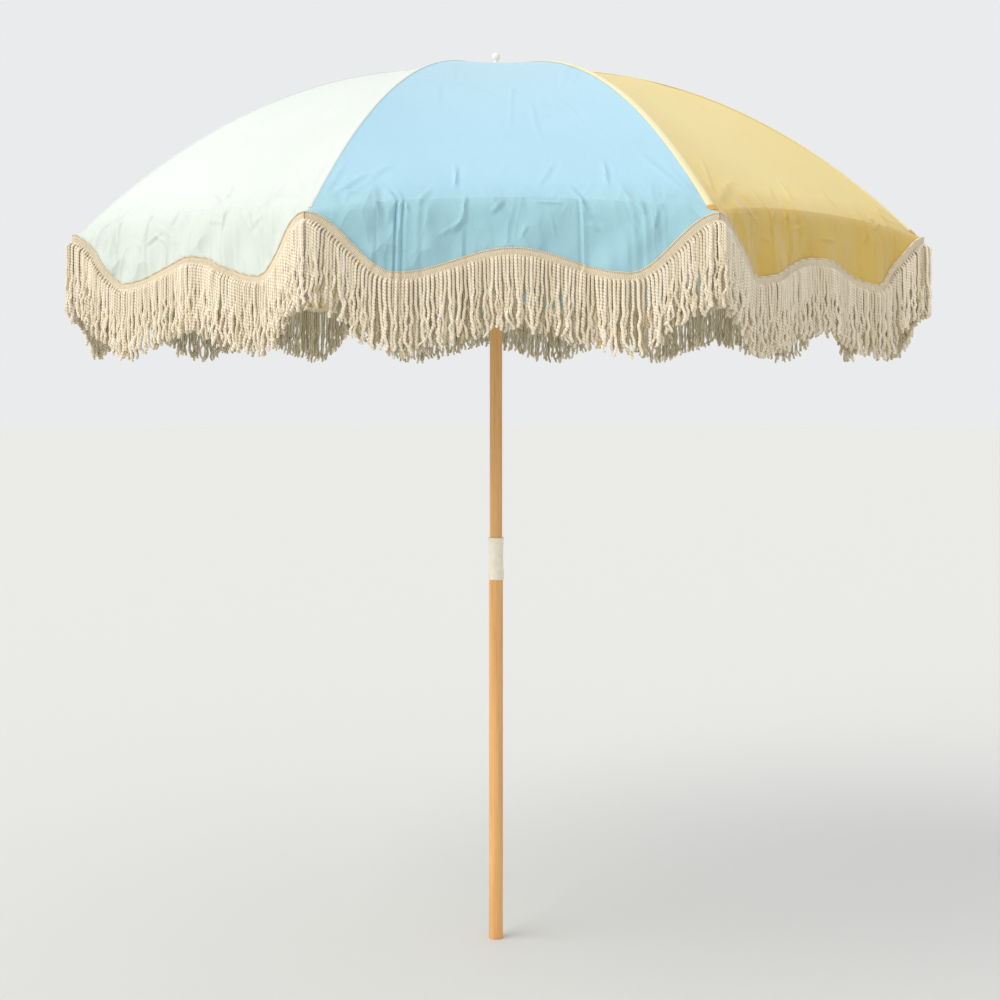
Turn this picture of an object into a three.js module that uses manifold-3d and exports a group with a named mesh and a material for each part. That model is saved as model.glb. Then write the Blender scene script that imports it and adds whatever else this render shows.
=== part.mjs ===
// A two-metre beach umbrella with eight ribs, a folding linkage and a two-section wooden pole.
// Millimetres, +Z up. The origin is the centre of the pole's flat foot.
import * as THREE from 'three';
import { mergeVertices } from 'three/addons/utils/BufferGeometryUtils.js';
import Module from 'manifold-3d';

const wasm = await Module();
wasm.setup();

// ---------------------------------------------------------------- driving dimensions
const RIBS = 8;
const SECTOR = 2 * Math.PI / RIBS;
const FIRST_RIB = -Math.PI / 2 - SECTOR / 2; // rib 1 is left of the front panel, which faces -Y
const GAP = 0.3; // kept between pieces that touch on the real object

const SPAN_R = 1000; // radius that the dome's curve is measured at
const APEX_Z = 2100; // top of the fabric on the axis
const DOME_DROP = 433; // how far the fabric falls from the axis to SPAN_R, along a rib
const DOME_POWER = 2.35; // over 2, so that the dome is flatter at its top than near its edge
const FABRIC = 1.2;
const FABRIC_IN_R = 9;
const FABRIC_OUT_R = 990;

const LOWER_POLE_R = 17;
const UPPER_POLE_R = 15.15;
const COUPLING_LOW_Z = 869;
const COUPLING_HIGH_Z = 971;
const COUPLING_WAIST_R = 17.9;
const COUPLING_RIM_R = 19.5;
const COUPLING_BORE_R = 15.5;
const POLES_MEET_Z = 920;

const HINGE_R = 24; // radius of the wire rings that the ribs and stretchers turn on
const WIRE_R = 0.9;
const WIRE_HOLE_R = 1.5;
const HUB_R = 29.5;
const HUB_SLOT_R = 19.2;
const HUB_SLOT = 4.8;
const CROWN_HEIGHT = 23;
const CROWN_BORE_R = 13;
const RUNNER_BORE_R = 16.2;
const RUNNER_SLEEVE = 45;

const BAR = 4; // thickness of a rib across its plane
const BAR_HALF = 3; // half of its height
const BAR_BELOW = 5.5; // from the fabric's top down to the rib's centre line
const BRACKET_AT_R = 480;
const BRACKET_DEPTH = 11; // from the rib's centre line down to the stretcher's pin
const FLEX_AT_R = 505;
const TIP_AT_R = 990;
const TIP_LENGTH = 16;
const STRETCHER = 3;
const RIB_STEPS = 9; // in each half of a rib
const ROUND = 24; // sides of a turned piece
const HUB_ROUND = 32;

const EDGE_DROP_TIP = 9; // the scalloped edge, below the fabric's rim, at a rib tip
const EDGE_DROP_MID = 73; // at a panel's middle
const EDGE_DROP_LOBE = 120; // at the two lobes
const LOBE_AT = 0.57; // where a lobe is, as a share of half a panel
const FRINGE_LENGTH = 165;
const CURTAIN = 5;

// ---------------------------------------------------------------- materials
const standard = (color, roughness, metalness = 0) =>
  new THREE.MeshStandardMaterial({ color, roughness, metalness });
const wood = standard(0xd9a066, 0.55);
const ivory = standard(0xf2ead6, 0.4);
const steel = standard(0xc8cacc, 0.35, 0.9);
const whitePlastic = standard(0xe9e9e6, 0.4);
const darkPlastic = standard(0x3a3530, 0.5);
const blueCloth = standard(0xb9dfee, 0.85);
const whiteCloth = standard(0xf3f6f1, 0.85);
const yellowCloth = standard(0xebd08c, 0.85);
const cordCotton = standard(0xe8d9b8, 0.9);
const PANEL_CLOTH = [
  blueCloth, yellowCloth, blueCloth, whiteCloth, blueCloth, yellowCloth, blueCloth, whiteCloth,
];

// ---------------------------------------------------------------- solids
function solid(geometry) {
  geometry.deleteAttribute('normal');
  geometry.deleteAttribute('uv');
  const merged = mergeVertices(geometry, 1e-4);
  return new wasm.Manifold(new wasm.Mesh({
    numProp: 3,
    vertProperties: new Float32Array(merged.attributes.position.array),
    triVerts: new Uint32Array(merged.index.array),
  }));
}

function toGeometry(manifold) {
  const mesh = manifold.getMesh();
  const geometry = new THREE.BufferGeometry();
  geometry.setAttribute('position', new THREE.BufferAttribute(mesh.vertProperties, 3));
  geometry.setIndex(new THREE.BufferAttribute(mesh.triVerts, 1));
  const flat = geometry.toNonIndexed();
  flat.computeVertexNormals();
  return flat;
}

const joined = (...parts) => parts.reduce((whole, part) => whole.add(part));

function turned(profile, segments) {
  const points = profile.map(([r, z]) => new THREE.Vector2(r, z));
  const geometry = new THREE.LatheGeometry(points, segments);
  geometry.rotateX(Math.PI / 2);
  return geometry;
}

// A plate in the XZ plane, drawn as [x, z] points, from y = low to y = high.
function plate(points, low, high) {
  const shape = new THREE.Shape(points.map(([x, z]) => new THREE.Vector2(x, z)));
  const geometry = new THREE.ExtrudeGeometry(shape, { depth: high - low, bevelEnabled: false });
  geometry.rotateX(Math.PI / 2);
  geometry.translate(0, high, 0);
  return geometry;
}

// A disc in the XZ plane, from y = low to y = high.
function disc([x, z], radius, low, high, segments = 12) {
  const geometry = new THREE.CylinderGeometry(radius, radius, high - low, segments);
  geometry.translate(x, (low + high) / 2, z);
  return geometry;
}

// ---------------------------------------------------------------- the dome's curve
const domeZ = (r) => APEX_Z - DOME_DROP * (r / SPAN_R) ** DOME_POWER;
const domeSlope = (r) => Math.atan(
  DOME_POWER * DOME_DROP / SPAN_R * (r / SPAN_R) ** (DOME_POWER - 1),
);

// The radii where a rib and the fabric over it change direction together.
function evenly(from, to) {
  return Array.from({ length: RIB_STEPS + 1 }, (_, i) => from + (to - from) * i / RIB_STEPS);
}

// The point that lies `depth` under the fabric's top, square to it, where the dome's radius is r.
function under(r, depth) {
  const slope = domeSlope(r);
  return [r - depth * Math.sin(slope), domeZ(r) - depth * Math.cos(slope)];
}

const crownHinge = [HINGE_R, under(HINGE_R, BAR_BELOW)[1]];
const bracketPin = under(BRACKET_AT_R, BAR_BELOW + BRACKET_DEPTH);
const flexHinge = under(FLEX_AT_R, BAR_BELOW);
const tipStart = under(TIP_AT_R, BAR_BELOW);
// The stretcher is as long as the rib's inner arm, so its lower pin stays under the crown's.
const runnerHinge = [HINGE_R, 2 * bracketPin[1] - crownHinge[1]];

// ---------------------------------------------------------------- pole
function lowerPole() {
  const chamfer = 1.5;
  const tenon = COUPLING_BORE_R - GAP;
  const shoulder = COUPLING_LOW_Z - GAP;
  return turned([
    [0, 0], [LOWER_POLE_R - chamfer, 0], [LOWER_POLE_R, chamfer], [LOWER_POLE_R, shoulder],
    [tenon, shoulder], [tenon, POLES_MEET_Z - GAP], [0, POLES_MEET_Z - GAP],
  ], ROUND);
}

function poleCoupling() {
  const chamfer = 0.8;
  const rim = 3.5; // height of the straight part of a rim
  const flare = 9; // height where the rim has narrowed to the neck
  const neckR = COUPLING_WAIST_R + 0.4;
  const beadR = COUPLING_WAIST_R + 1.4;
  const beadLow = 13; // a raised ring lies between these heights
  const beadHigh = 15;
  const half = (z, up) => [
    [COUPLING_BORE_R, z],
    [COUPLING_RIM_R - chamfer, z],
    [COUPLING_RIM_R, z + up * chamfer],
    [COUPLING_RIM_R, z + up * rim],
    [neckR, z + up * flare],
    [neckR, z + up * (beadLow - 1)],
    [beadR, z + up * beadLow],
    [beadR, z + up * beadHigh],
    [COUPLING_WAIST_R, z + up * (beadHigh + 1)],
  ];
  const low = half(COUPLING_LOW_Z, 1);
  const high = half(COUPLING_HIGH_Z, -1).reverse();
  const waist = [[COUPLING_WAIST_R, (COUPLING_LOW_Z + COUPLING_HIGH_Z) / 2]];
  return turned([...low, ...waist, ...high, low[0]], ROUND);
}

const CROWN_TOP_Z = APEX_Z - FABRIC - 1.2; // clear of the fabric, which falls towards the rim
const CROWN_LOW_Z = CROWN_TOP_Z - CROWN_HEIGHT;
const POLE_TOP_Z = CROWN_TOP_Z - 1;
const CATCH_R = 4;
const CATCH_Z = runnerHinge[1] - RUNNER_SLEEVE - CATCH_R - 1; // it stands just under the runner
const CATCH_OUT = 5; // how far the catch stands out of the pole, and how far it can be pressed
const CATCH_LENGTH = 13;
const CATCH_CLEARANCE = 0.4;
const STUD_R = 4;
const STUD_DEPTH = 24;

function upperPole() {
  const tenon = CROWN_BORE_R - GAP;
  const shoulder = CROWN_LOW_Z - GAP;
  const top = POLE_TOP_Z;
  const socket = STUD_R + GAP;
  const pole = turned([
    [0, POLES_MEET_Z], [UPPER_POLE_R, POLES_MEET_Z], [UPPER_POLE_R, shoulder], [tenon, shoulder],
    [tenon, top], [socket, top], [socket, top - STUD_DEPTH], [0, top - STUD_DEPTH],
  ], ROUND);
  // Deep enough for the whole catch when it is pressed flush.
  const pocketEnd = UPPER_POLE_R - CATCH_LENGTH - CATCH_CLEARANCE;
  const pocketR = CATCH_R + CATCH_CLEARANCE;
  const pocketLength = UPPER_POLE_R + CATCH_OUT - pocketEnd;
  const pocket = new THREE.CylinderGeometry(pocketR, pocketR, pocketLength, 16);
  pocket.rotateZ(Math.PI / 2);
  pocket.translate(pocketEnd + pocketLength / 2, 0, CATCH_Z);
  return toGeometry(solid(pole).subtract(solid(pocket)));
}

// A sprung pin, between two stretchers.
function runnerCatch() {
  const round = 1.5;
  const geometry = turned([
    [0, 0], [CATCH_R, 0], [CATCH_R, CATCH_LENGTH - round], [CATCH_R - round, CATCH_LENGTH],
    [0, CATCH_LENGTH],
  ], 16);
  geometry.rotateY(Math.PI / 2);
  geometry.translate(UPPER_POLE_R + CATCH_OUT - CATCH_LENGTH, 0, CATCH_Z);
  return geometry;
}

// ---------------------------------------------------------------- crown and runner
// Cuts the radial slots and the groove that the wire ring lies in.
function slotted(body, hingeZ, lowZ, highZ) {
  const groove = turned([
    [HINGE_R - WIRE_R - GAP, hingeZ - WIRE_R - GAP], [HUB_R + 5, hingeZ - WIRE_R - GAP],
    [HUB_R + 5, hingeZ + WIRE_R + GAP], [HINGE_R - WIRE_R - GAP, hingeZ + WIRE_R + GAP],
    [HINGE_R - WIRE_R - GAP, hingeZ - WIRE_R - GAP],
  ], HUB_ROUND);
  let hub = solid(body).subtract(solid(groove));
  for (let i = 0; i < RIBS; i += 1) {
    const slot = new THREE.BoxGeometry(HUB_R, HUB_SLOT, highZ - lowZ + 2);
    slot.translate(HUB_SLOT_R + HUB_R / 2, 0, (lowZ + highZ) / 2);
    slot.rotateZ(FIRST_RIB + i * SECTOR);
    hub = hub.subtract(solid(slot));
  }
  return toGeometry(hub);
}

function crown() {
  const body = turned([
    [CROWN_BORE_R, CROWN_LOW_Z], [HUB_R - 6, CROWN_LOW_Z], [HUB_R, CROWN_LOW_Z + 8],
    [HUB_R, CROWN_TOP_Z - 1], [HUB_R - 1, CROWN_TOP_Z], [CROWN_BORE_R, CROWN_TOP_Z],
    [CROWN_BORE_R, CROWN_LOW_Z],
  ], HUB_ROUND);
  return slotted(body, crownHinge[1], CROWN_LOW_Z, CROWN_TOP_Z);
}

function runner() {
  const flange = 6; // half of the flange's height
  const sleeveR = 20;
  const lipR = 22; // the grip at the sleeve's foot
  const lip = 5;
  const low = runnerHinge[1] - RUNNER_SLEEVE;
  const underFlange = runnerHinge[1] - flange;
  const top = runnerHinge[1] + flange;
  const body = turned([
    [RUNNER_BORE_R, low], [lipR - 1, low], [lipR, low + 1], [lipR, low + lip],
    [sleeveR, low + lip + 2], [sleeveR, underFlange - 5], [HUB_R, underFlange], [HUB_R, top - 1],
    [HUB_R - 1, top], [RUNNER_BORE_R, top], [RUNNER_BORE_R, low],
  ], HUB_ROUND);
  // The slots stop at the sleeve, so they only cut the flange.
  return slotted(body, runnerHinge[1], underFlange - 4, top);
}

function wireRing(hingeZ) {
  const geometry = new THREE.TorusGeometry(HINGE_R, WIRE_R, 5, HUB_ROUND);
  geometry.translate(0, 0, hingeZ);
  return geometry;
}

const WASHER_Z = APEX_Z + GAP;
const WASHER = 2;
const WASHER_R = 21;
const WASHER_EDGE = 0.8;
const FINIAL_TOP_Z = 2147;
const FINIAL_BASE_R = 12;
const FINIAL_BASE = 5;
const FINIAL_NECK_R = 6;
const FINIAL_BALL_R = 10.5;

function topWasher() {
  const hole = STUD_R + GAP;
  return turned([
    [hole, WASHER_Z], [WASHER_R, WASHER_Z], [WASHER_R, WASHER_Z + WASHER_EDGE],
    [WASHER_R - 5, WASHER_Z + WASHER], [hole, WASHER_Z + WASHER], [hole, WASHER_Z],
  ], ROUND);
}

// A round knob on a waisted stem, with a stud that goes down into the pole.
function finial() {
  const foot = POLE_TOP_Z - STUD_DEPTH + 1;
  const low = WASHER_Z + WASHER + GAP;
  const centre = FINIAL_TOP_Z - FINIAL_BALL_R;
  const start = -Math.acos(FINIAL_NECK_R / FINIAL_BALL_R);
  const steps = 7;
  const ball = [];
  for (let i = 0; i < steps; i += 1) {
    const turn = start + i / steps * (Math.PI / 2 - start);
    ball.push([FINIAL_BALL_R * Math.cos(turn), centre + FINIAL_BALL_R * Math.sin(turn)]);
  }
  return turned([
    [0, foot], [STUD_R, foot], [STUD_R, low], [FINIAL_BASE_R, low],
    [FINIAL_BASE_R, low + FINIAL_BASE], [FINIAL_NECK_R, low + 2 * FINIAL_BASE],
    ...ball, [0, FINIAL_TOP_Z],
  ], 16);
}

// ---------------------------------------------------------------- ribs and stretchers
// The bar's outline from radius `from` to radius `to`, following the dome.
function barOutline(from, to) {
  const radii = evenly(from, to);
  const bottom = radii.map((r) => under(r, BAR_BELOW + BAR_HALF));
  const top = radii.map((r) => under(r, BAR_BELOW - BAR_HALF));
  return [...bottom, ...top.reverse()];
}

const EYE_R = 3.9;
const LAP_R = 3.9;
const LAP_CUT_R = LAP_R + 0.6;
const PIN_R = 1.4;
const PIN_HOLE_R = 1.8;
const EAR_R = 5.5;
const EARS = 8.8; // across both ears of the bracket
const EARS_INSIDE = STRETCHER + 1.2;

function ribInner() {
  const bar = solid(plate(barOutline(HINGE_R, FLEX_AT_R), -BAR / 2, BAR / 2));
  const eye = solid(disc(crownHinge, EYE_R, -BAR / 2, BAR / 2));
  const lap = solid(disc(flexHinge, LAP_R, -BAR / 2, BAR / 2));
  const left = under(BRACKET_AT_R - 8, BAR_BELOW);
  const right = under(BRACKET_AT_R + 8, BAR_BELOW);
  const ears = joined(
    solid(plate([
      left, [bracketPin[0] - EAR_R, bracketPin[1]], [bracketPin[0] + EAR_R, bracketPin[1]], right,
    ], -EARS / 2, EARS / 2)),
    solid(disc(bracketPin, EAR_R, -EARS / 2, EARS / 2)),
  );
  const between = solid(disc(bracketPin, BRACKET_DEPTH - BAR_HALF - 0.4, -EARS_INSIDE / 2,
    EARS_INSIDE / 2, 16));
  const pin = solid(disc(bracketPin, PIN_R, -EARS / 2 + 1, EARS / 2 - 1, 12));
  const wireHole = solid(disc(crownHinge, WIRE_HOLE_R, -BAR, BAR, 12));
  const lapCut = solid(disc(flexHinge, LAP_CUT_R, -0.15, BAR));
  const lapHole = solid(disc(flexHinge, PIN_HOLE_R, -BAR, BAR, 12));
  return toGeometry(joined(ears.subtract(between), bar, eye, lap, pin)
    .subtract(wireHole).subtract(lapCut).subtract(lapHole));
}

function ribOuter() {
  const bar = solid(plate(barOutline(FLEX_AT_R, TIP_AT_R), -BAR / 2, BAR / 2));
  const lap = solid(disc(flexHinge, LAP_R, -BAR / 2, BAR / 2));
  const lapCut = solid(disc(flexHinge, LAP_CUT_R, -BAR, 0.15));
  const pin = solid(disc(flexHinge, PIN_R, -BAR / 2, 1, 12));
  return toGeometry(joined(joined(bar, lap).subtract(lapCut), pin));
}

function ribTip() {
  const radius = 4;
  const geometry = turned([
    [0, GAP], [radius, GAP], [radius, TIP_LENGTH - 4], [radius - 1.5, TIP_LENGTH - 1],
    [0, TIP_LENGTH],
  ], 12);
  geometry.rotateY(Math.PI / 2 + domeSlope(TIP_AT_R));
  geometry.translate(tipStart[0], 0, tipStart[1]);
  return geometry;
}

function stretcher() {
  const [x0, z0] = runnerHinge;
  const [x1, z1] = bracketPin;
  const length = Math.hypot(x1 - x0, z1 - z0);
  const sideX = -(z1 - z0) / length * BAR_HALF;
  const sideZ = (x1 - x0) / length * BAR_HALF;
  const bar = solid(plate([
    [x0 - sideX, z0 - sideZ], [x1 - sideX, z1 - sideZ], [x1 + sideX, z1 + sideZ],
    [x0 + sideX, z0 + sideZ],
  ], -STRETCHER / 2, STRETCHER / 2));
  const lowEye = solid(disc(runnerHinge, EYE_R, -STRETCHER / 2, STRETCHER / 2));
  const highEye = solid(disc(bracketPin, EYE_R, -STRETCHER / 2, STRETCHER / 2));
  const wireHole = solid(disc(runnerHinge, WIRE_HOLE_R, -BAR, BAR, 12));
  const pinHole = solid(disc(bracketPin, PIN_HOLE_R, -BAR, BAR, 12));
  return toGeometry(joined(bar, lowEye, highEye).subtract(wireHole).subtract(pinHole));
}

// ---------------------------------------------------------------- canopy
// One panel lies along +X, between two ribs, and is straight across from rib to rib.
function canopyPanel() {
  const half = SECTOR / 2;
  const radii = [
    FABRIC_IN_R, ...evenly(HINGE_R, FLEX_AT_R), ...evenly(FLEX_AT_R, FABRIC_OUT_R).slice(1),
  ];
  const rows = [];
  for (const r of radii) {
    for (const [x, z] of [[r, domeZ(r)], under(r, FABRIC)]) {
      const y = x * Math.sin(half) - GAP / 2;
      rows.push([x * Math.cos(half), -y, z], [x * Math.cos(half), y, z]);
    }
  }
  // Each row holds the top's two corners, then the underside's two.
  const index = [0, 1, 2, 1, 3, 2];
  const steps = radii.length - 1;
  for (let i = 0; i < steps; i += 1) {
    const [a, b, c, d] = [4 * i, 4 * i + 1, 4 * i + 2, 4 * i + 3];
    const [e, f, g, h] = [a + 4, b + 4, c + 4, d + 4];
    index.push(a, e, b, b, e, f); // top
    index.push(c, d, g, d, h, g); // underside
    index.push(a, c, e, c, g, e); // one side
    index.push(b, f, d, d, f, h); // other side
  }
  const last = 4 * steps;
  index.push(last, last + 2, last + 1, last + 1, last + 2, last + 3);
  const geometry = new THREE.BufferGeometry();
  geometry.setAttribute('position', new THREE.Float32BufferAttribute(rows.flat(), 3));
  geometry.setIndex(index);
  return geometry;
}

// The scalloped edge: how far it lies below the fabric's rim at `share` of half a panel.
function edgeDrop(share) {
  const at = Math.abs(share);
  if (at < LOBE_AT) {
    const mean = (EDGE_DROP_MID + EDGE_DROP_LOBE) / 2;
    return mean - (EDGE_DROP_LOBE - EDGE_DROP_MID) / 2 * Math.cos(Math.PI * at / LOBE_AT);
  }
  const fall = (1 + Math.cos(Math.PI * (at - LOBE_AT) / (1 - LOBE_AT))) / 2;
  return EDGE_DROP_TIP + (EDGE_DROP_LOBE - EDGE_DROP_TIP) * fall;
}

// The hanging edge of one panel, with its fringe: a curtain across the +X side.
function valance() {
  const inset = 7;
  const half = FABRIC_OUT_R * Math.sin(SECTOR / 2) - inset;
  const topZ = domeZ(FABRIC_OUT_R) - FABRIC - 2;
  const steps = 20;
  const outline = [[half, topZ], [-half, topZ]];
  for (let i = 0; i <= steps; i += 1) {
    const share = -1 + 2 * i / steps;
    outline.push([share * half, domeZ(FABRIC_OUT_R) - edgeDrop(share) - FRINGE_LENGTH]);
  }
  const geometry = plate(outline, -CURTAIN, 0);
  geometry.rotateZ(-Math.PI / 2);
  geometry.translate(FABRIC_OUT_R * Math.cos(SECTOR / 2), 0, 0);
  return geometry;
}

// ---------------------------------------------------------------- the whole umbrella
const group = new THREE.Group();

function add(parent, name, geometry, material) {
  const mesh = new THREE.Mesh(geometry, material);
  mesh.name = name;
  parent.add(mesh);
}

add(group, 'lower_pole', lowerPole(), wood);
add(group, 'pole_coupling', poleCoupling(), ivory);
add(group, 'upper_pole', upperPole(), wood);
add(group, 'runner_catch', runnerCatch(), steel);
add(group, 'crown', crown(), whitePlastic);
add(group, 'crown_wire', wireRing(crownHinge[1]), steel);
add(group, 'top_washer', topWasher(), whitePlastic);
add(group, 'finial', finial(), whitePlastic);
add(group, 'runner', runner(), whitePlastic);
add(group, 'runner_wire', wireRing(runnerHinge[1]), steel);

for (let i = 0; i < RIBS; i += 1) {
  const number = i + 1;
  const ribPlane = new THREE.Group();
  ribPlane.rotation.z = FIRST_RIB + i * SECTOR;
  add(ribPlane, `rib_${number}_inner`, ribInner(), steel);
  add(ribPlane, `rib_${number}_outer`, ribOuter(), steel);
  add(ribPlane, `rib_${number}_tip`, ribTip(), darkPlastic);
  add(ribPlane, `stretcher_${number}`, stretcher(), steel);
  const panelPlane = new THREE.Group();
  panelPlane.rotation.z = FIRST_RIB + (i + 0.5) * SECTOR;
  add(panelPlane, `canopy_panel_${number}`, canopyPanel(), PANEL_CLOTH[i]);
  add(panelPlane, `valance_fringe_${number}`, valance(), cordCotton);
  group.add(ribPlane, panelPlane);
}

export default group;
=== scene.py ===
"""A fringed beach umbrella: its cloth, fringe, wood and plastic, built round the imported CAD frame."""
import math

import bmesh
import bpy
import numpy as np
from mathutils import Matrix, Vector


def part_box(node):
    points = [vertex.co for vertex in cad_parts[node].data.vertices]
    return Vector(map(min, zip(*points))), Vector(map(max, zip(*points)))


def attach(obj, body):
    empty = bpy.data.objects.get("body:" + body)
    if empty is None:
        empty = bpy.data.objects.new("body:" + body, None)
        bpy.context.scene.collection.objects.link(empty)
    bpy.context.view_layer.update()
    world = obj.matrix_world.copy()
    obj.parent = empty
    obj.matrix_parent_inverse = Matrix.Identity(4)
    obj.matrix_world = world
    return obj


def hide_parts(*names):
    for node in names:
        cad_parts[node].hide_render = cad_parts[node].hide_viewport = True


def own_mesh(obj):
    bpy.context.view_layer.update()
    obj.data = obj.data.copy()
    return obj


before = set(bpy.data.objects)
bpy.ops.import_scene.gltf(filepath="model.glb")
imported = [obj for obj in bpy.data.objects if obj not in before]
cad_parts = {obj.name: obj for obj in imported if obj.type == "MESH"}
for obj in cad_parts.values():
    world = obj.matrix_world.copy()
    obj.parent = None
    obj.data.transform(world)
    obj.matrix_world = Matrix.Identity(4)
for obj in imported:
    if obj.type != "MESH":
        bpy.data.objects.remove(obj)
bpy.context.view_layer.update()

# ---------------------------------------------------------------- driving dimensions, in metres
RIBS = 8
SECTOR = 2 * math.pi / RIBS
HALF = SECTOR / 2
FIRST_RIB = -math.pi / 2 - HALF

PANEL_LOW, PANEL_HIGH = (Vector(c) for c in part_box("canopy_panel_1"))
APEX_Z = PANEL_HIGH.z
HEM_R = -PANEL_LOW.y / math.cos(HALF)
FLEX_R = 0.505  # how far out the joint half way along a rib is
DOME_DROP = 0.433  # how far the dome falls, one metre out along a rib
DOME_POWER = 2.35
HOLE_R = 0.009
GAP = 0.0003  # between one turned piece's shoulder and the next
LOWER_TENON_R = 0.0152  # the lower pole inside the coupling
COUPLING_BORE_R = 0.0155
COUPLING_LENGTH = 0.102  # as its outline is drawn
UPPER_TENON_R = 0.0127  # the upper pole inside the crown

CLOTH = 0.0008
LAP = 0.042  # cloth that runs on, hidden, under the neighbouring piece
LAP_DEPTH = 0.0012  # how far under the cloth's outside the first lap lies
HEM_LAP = 0.018  # the valance's own lap, up under the skirt
HEM_LAP_DEPTH = 0.0014
SAG = 0.012  # how far the middle of a panel sinks between its ribs
HEM_ARCH = 0.026  # how far a panel's lower fold rises between two rib tips
TIP_DROP = 0.009  # the scalloped edge below the canopy's rim, at a rib tip
MID_DROP = 0.073  # the same at a panel's middle
LOBE_DROP = 0.120  # the same at a lobe's lowest point
LOBE_AT = 0.57
FLARE = 0.012  # how far the valance stands out from the fold
FLARE_TURN = 0.018
CORNER_FLARE = 0.011
RIPPLE = 0.036  # size of the valance's soft folds
FULL_TURN = 6.28  # range of a random phase

TAPE = 0.0165  # the header tape's height
TAPE_THICK = 0.0024
TAPE_RIB = 0.0032  # from one of its ribs to the next
TAPE_RIDGE = 0.0009
TAPE_TONE = 0.85
CORD_TURN = 0.0036  # along the tape's corded edge, from one twist to the next
CORD_SWELL = 0.0012
STRAND_R = 0.0031
STRAND_PITCH = 0.0039
STRAND_LENGTH = 0.1405
STRAND_STEP = 0.0021
STRAND_LEAVES = 0.004  # how far above the tape's lower edge a strand starts
STRAND_BEND = 0.006  # the length in which it turns from the tape's lie to hanging
STRAND_END = 0.005  # the length in which its end rounds off
TWIST_SWELL = 0.17
FRONT_ROW = 0.0030  # how far the front row of strands stands proud of the back row
TIP_STRANDS_LONGER = 0.028
PLY_TURN = 0.0063  # along a strand, from one ply's crest to the next
STRAND_SIDES = 6
SEED = 7

# Rows and columns of points.
TOP_GRID = (84, 34)
SKIRT_GRID = (110, 84)
VALANCE_GRID = (40, 120)
HEADER_COLUMNS = 620
EDGE_COLUMNS = 400
SEAM_ROWS = 60

STRAW_BINDING = 0.0092  # half widths
WHITE_BINDING = 0.0036
BACKING = 0.010
BACKING_DEPTH = 0.0022
BINDING_THICK = 0.0006

BLUE, YELLOW, WHITE = "blue", "yellow", "white"
PANEL_COLOURS = [BLUE, YELLOW, BLUE, WHITE, BLUE, YELLOW, BLUE, WHITE]


# ---------------------------------------------------------------- camera, floor and light
def add_camera():
    distance = 3.984
    height = 1.372
    turned = math.radians(1.95)
    data = bpy.data.cameras.new("camera")
    data.sensor_width = 36
    data.lens = 59.1
    data.shift_x = 0.004
    data.shift_y = -0.128
    camera = bpy.data.objects.new("camera", data)
    camera.location = (-distance * math.sin(turned), -distance * math.cos(turned), height)
    camera.rotation_euler = (math.pi / 2, 0, -turned)
    bpy.context.collection.objects.link(camera)
    bpy.context.scene.camera = camera


def add_sun(name, place, strength, width, colour):
    data = bpy.data.lights.new(name, "SUN")
    data.energy = strength
    data.angle = math.radians(width)
    data.color = colour
    light = bpy.data.objects.new(name, data)
    light.location = place
    light.rotation_euler = Vector(place).to_track_quat("Z", "Y").to_euler()
    bpy.context.collection.objects.link(light)


def add_stage():
    world = bpy.data.worlds.new("studio")
    world.use_nodes = True
    background = world.node_tree.nodes["Background"]
    background.inputs["Color"].default_value = (0.98, 0.99, 1.0, 1)
    background.inputs["Strength"].default_value = 0.84
    bpy.context.scene.world = world
    bpy.context.scene.view_settings.view_transform = "Standard"
    add_sun("sun", (-3.1, -1.5, 2.9), 1.45, 50, (1.0, 0.96, 0.90))
    add_sun("low_left", (-6.4, -2.8, 1.1), 0.68, 70, (1.0, 0.97, 0.92))
    segments = 96
    ring = [(40 * math.cos(2 * math.pi * k / segments), 40 * math.sin(2 * math.pi * k / segments), 0)
            for k in range(segments)]
    mesh = bpy.data.meshes.new("floor")
    mesh.from_pydata(ring, [], [list(range(segments))])
    floor = bpy.data.objects.new("floor", mesh)
    bpy.context.collection.objects.link(floor)
    material = bpy.data.materials.new("floor")
    material.use_nodes = True
    shader = material.node_tree.nodes["Principled BSDF"]
    shader.inputs["Base Color"].default_value = (0.70, 0.70, 0.69, 1)
    shader.inputs["Roughness"].default_value = 0.9
    mesh.materials.append(material)


# ---------------------------------------------------------------- materials
def srgb(r, g, b):
    """A colour given in 0 to 255 display values, as linear light."""
    def linear(c):
        c /= 255
        return c / 12.92 if c <= 0.04045 else ((c + 0.055) / 1.055) ** 2.4
    return (linear(r), linear(g), linear(b), 1)


def new_material(name, roughness, **sockets):
    material = bpy.data.materials.new(name)
    material.use_nodes = True
    shader = material.node_tree.nodes["Principled BSDF"]
    shader.inputs["Roughness"].default_value = roughness
    for socket, value in sockets.items():
        shader.inputs[socket.replace("_", " ")].default_value = value
    return material, material.node_tree, shader


def add_node(tree, kind, **values):
    node = tree.nodes.new(kind)
    for name, value in values.items():
        if hasattr(node, name):
            setattr(node, name, value)
        else:
            node.inputs[name.replace("_", " ")].default_value = value
    return node


def stretched(tree, source, scale):
    """Texture coordinates from one output of the coordinate node, scaled along each axis."""
    coordinates = add_node(tree, "ShaderNodeTexCoord")
    mapping = add_node(tree, "ShaderNodeMapping")
    mapping.inputs["Scale"].default_value = scale
    tree.links.new(coordinates.outputs[source], mapping.inputs["Vector"])
    return mapping.outputs["Vector"]


def noise(tree, vector, scale, detail=3.0, roughness=0.55):
    node = add_node(tree, "ShaderNodeTexNoise")
    node.inputs["Scale"].default_value = scale
    node.inputs["Detail"].default_value = detail
    node.inputs["Roughness"].default_value = roughness
    tree.links.new(vector, node.inputs["Vector"])
    return node.outputs["Fac"]


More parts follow.
